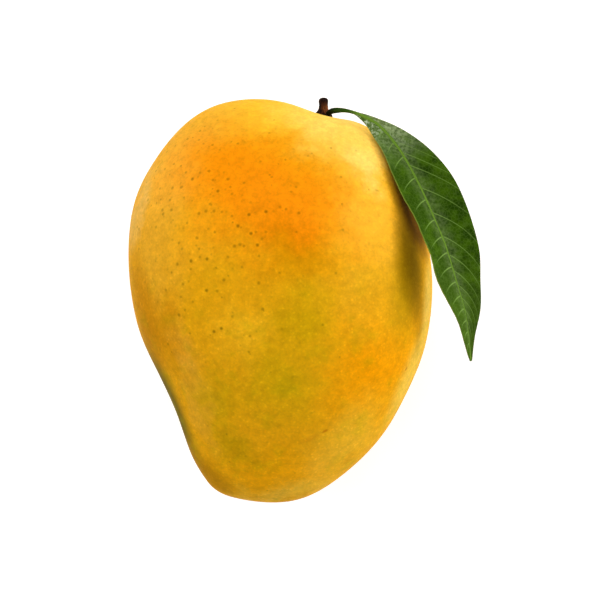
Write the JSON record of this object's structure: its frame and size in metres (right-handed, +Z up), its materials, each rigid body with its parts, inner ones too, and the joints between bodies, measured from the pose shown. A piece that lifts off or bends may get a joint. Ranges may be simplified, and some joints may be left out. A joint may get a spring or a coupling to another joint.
{
  "type": "mango",
  "caption": "Whole ripe mango lying on its cheek: a full egg-shaped fruit with a hollowed beak side, a short stalk stub and a folded, pointed leaf that hangs past its shoulder.",
  "frame": {"origin": "centre of the small flat spot on the lower cheek, on the surface that the fruit rests on", "axes": "+Z up, through both cheeks; +Y from the tip towards the stalk; -X towards the beak side and +X towards the rounded back, where the leaf hangs"},
  "size_m": [0.0948, 0.11, 0.0695],
  "materials": {
    "skin": "satin",
    "stalk_bark": "matte",
    "leaf_green": "satin"
  },
  "bodies": {
    "root": {"fruit": "skin", "stalk": "stalk_bark", "leaf": "leaf_green"}
  },
  "joints": []
}
